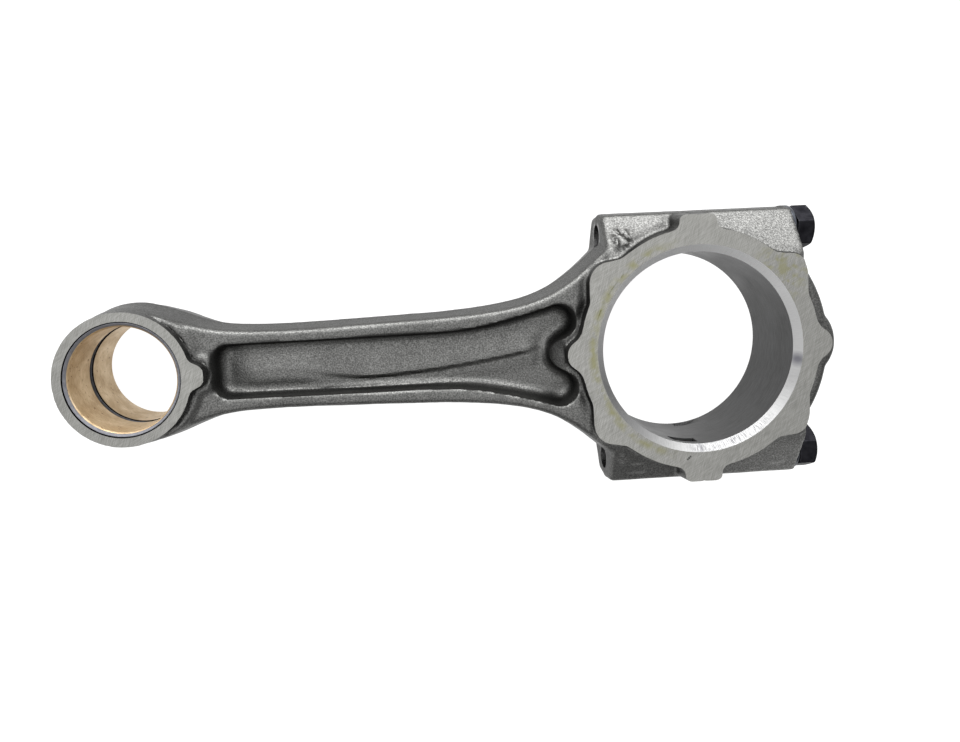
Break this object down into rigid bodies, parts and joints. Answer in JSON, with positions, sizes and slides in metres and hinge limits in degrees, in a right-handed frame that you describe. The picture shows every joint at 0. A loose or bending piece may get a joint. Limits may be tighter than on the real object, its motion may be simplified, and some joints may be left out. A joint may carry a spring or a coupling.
{
  "type": "connecting rod",
  "caption": "Forged connecting rod with a bolted bearing cap at the crank bore, a pocketed I-section beam and a bronze-lined bush at the piston pin bore.",
  "frame": {"origin": "centre of the crank bore, halfway between the two machined faces", "axes": "+X from the crank bore away from the beam, through the cap; +Z along the crank bore axis, out of the front face; +Y towards the upper bolt"},
  "size_m": [0.2838, 0.102, 0.038],
  "materials": {
    "forged_steel": "satin",
    "bolt_steel": "satin",
    "washer_steel": "satin",
    "bush_steel": "satin",
    "bush_bronze": "satin"
  },
  "bodies": {
    "rod": {"rod_body": "forged_steel", "pin_bush_backing_front": "bush_steel", "pin_bush_backing_rear": "bush_steel", "pin_bush_lining_front": "bush_bronze", "pin_bush_lining_rear": "bush_bronze"},
    "cap": {"bearing_cap": "forged_steel"},
    "washer_upper": {"bolt_washer_upper": "washer_steel"},
    "washer_lower": {"bolt_washer_lower": "washer_steel"},
    "bolt_upper": {"cap_bolt_upper": "bolt_steel"},
    "bolt_lower": {"cap_bolt_lower": "bolt_steel"}
  },
  "joints": [
    {"name": "cap_slide", "type": "slide", "parent": "rod", "child": "cap", "axis": [1, 0, 0], "range_m": [0, 0.06]},
    {"name": "bolt_upper_travel", "type": "slide", "parent": "cap", "child": "washer_upper", "axis": [1, 0, 0], "range_m": [0, 0.0275]},
    {"name": "bolt_upper_turn", "type": "hinge", "parent": "washer_upper", "child": "bolt_upper", "pos_m": [0.0388, 0.0424, 0], "axis": [1, 0, 0], "range_deg": [0, 7935]},
    {"name": "bolt_lower_travel", "type": "slide", "parent": "cap", "child": "washer_lower", "axis": [1, 0, 0], "range_m": [0, 0.0275]},
    {"name": "bolt_lower_turn", "type": "hinge", "parent": "washer_lower", "child": "bolt_lower", "pos_m": [0.0388, -0.0424, 0], "axis": [1, 0, 0], "range_deg": [0, 7935]}
  ],
  "couplings": [
    {"joint": "bolt_upper_turn", "follows": "bolt_upper_travel", "rad_per_m": 5026.5},
    {"joint": "bolt_lower_turn", "follows": "bolt_lower_travel", "rad_per_m": 5026.5}
  ]
}
